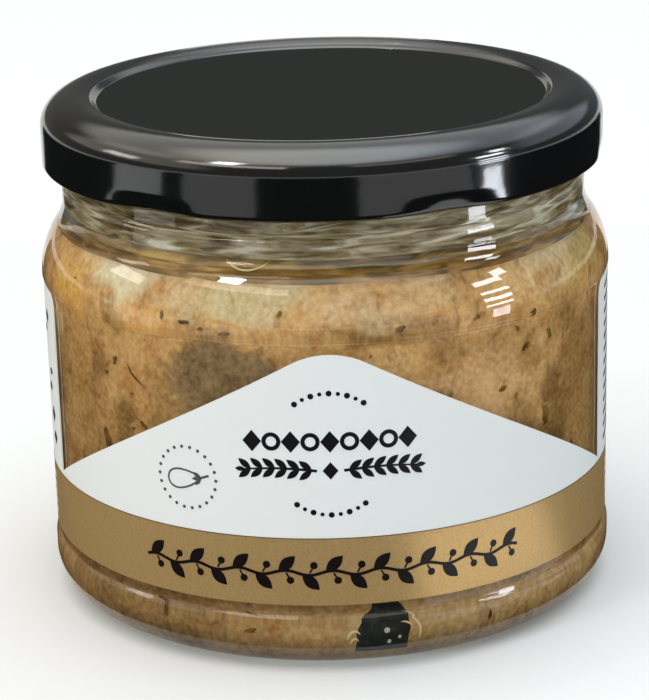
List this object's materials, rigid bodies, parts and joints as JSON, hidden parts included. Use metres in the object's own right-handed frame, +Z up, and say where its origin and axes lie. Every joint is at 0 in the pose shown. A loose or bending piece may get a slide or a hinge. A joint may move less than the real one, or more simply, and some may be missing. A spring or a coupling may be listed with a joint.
{
  "type": "jar of eggplant spread",
  "caption": "Shut clear glass jar of eggplant spread with a black twist-off lid, a strip of dark eggplant skin at the glass and a die-cut paper label round it.",
  "frame": {"origin": "middle of the ring that the jar rests on, at the base", "axes": "+Z up along the jar's axis, -Y towards the front of the label, +X to the viewer's right"},
  "size_m": [0.0866, 0.0866, 0.0767],
  "materials": {
    "glass": "clear soda-lime glass, moulded and fire-polished",
    "lid_lacquer": "black lacquered tinplate, glossy on the skirt and ring, duller on the panel",
    "spread": "moist tan eggplant spread with darker shreds and flecks",
    "skin": "charred eggplant skin, dark and moist",
    "label_paper": "coated white label paper with a dull gold printed band"
  },
  "bodies": {
    "root": {"glass_jar": "glass", "lid": "lid_lacquer", "eggplant_spread": "spread", "eggplant_skin": "skin", "label": "label_paper"}
  },
  "joints": []
}
